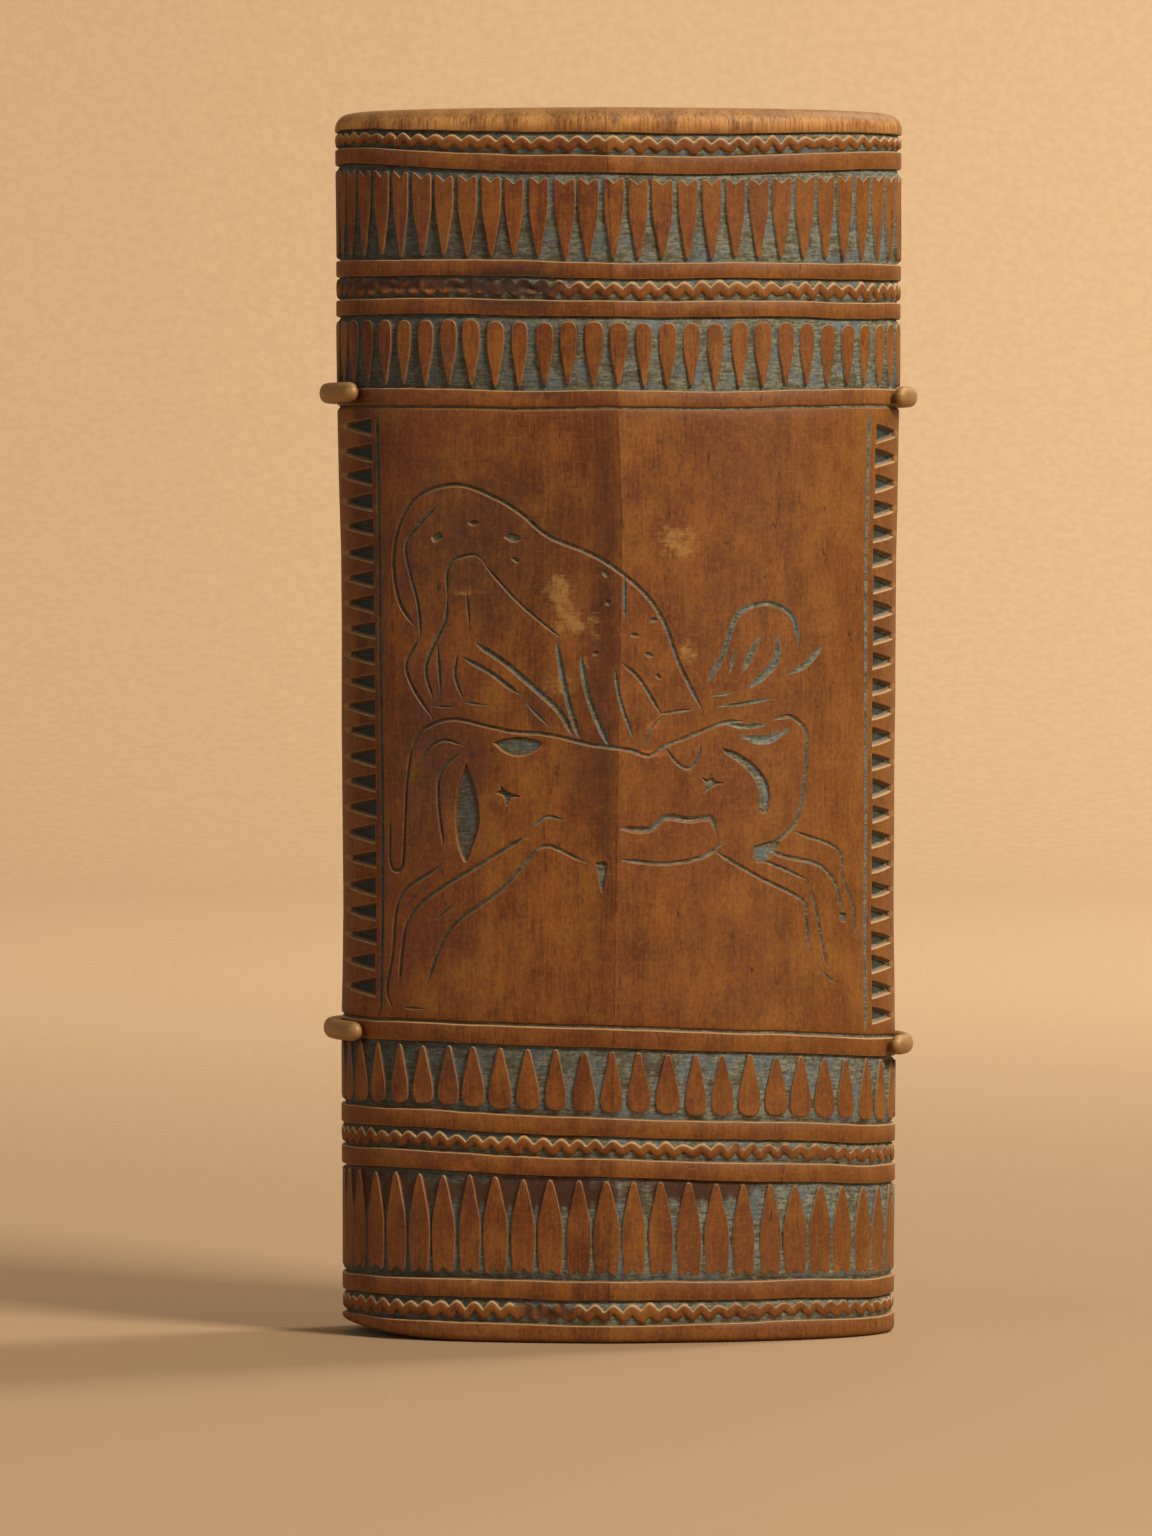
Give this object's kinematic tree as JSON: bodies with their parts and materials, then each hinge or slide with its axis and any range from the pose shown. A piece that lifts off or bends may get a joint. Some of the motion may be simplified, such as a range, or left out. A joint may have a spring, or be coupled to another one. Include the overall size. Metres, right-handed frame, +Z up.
{
  "type": "cosmetic container",
  "caption": "Carved wooden container, oval in plan, with two round bores open at the top, bands of leaves and zigzags and a cut animal scene, held upright in a slim brass display cradle.",
  "frame": {"origin": "middle of the container's flat underside", "axes": "+Z up, out of the mouths of the bores; -Y is the carved front; +X is to the right of the front"},
  "size_m": [0.0812, 0.0778, 0.165],
  "materials": {
    "carved_wood": "old hand-rubbed red-brown wood with grey-blue paste left in the cuts",
    "brass": "dull toned brass"
  },
  "bodies": {
    "root": {"container": "carved_wood", "display_cradle": "brass"}
  },
  "joints": []
}
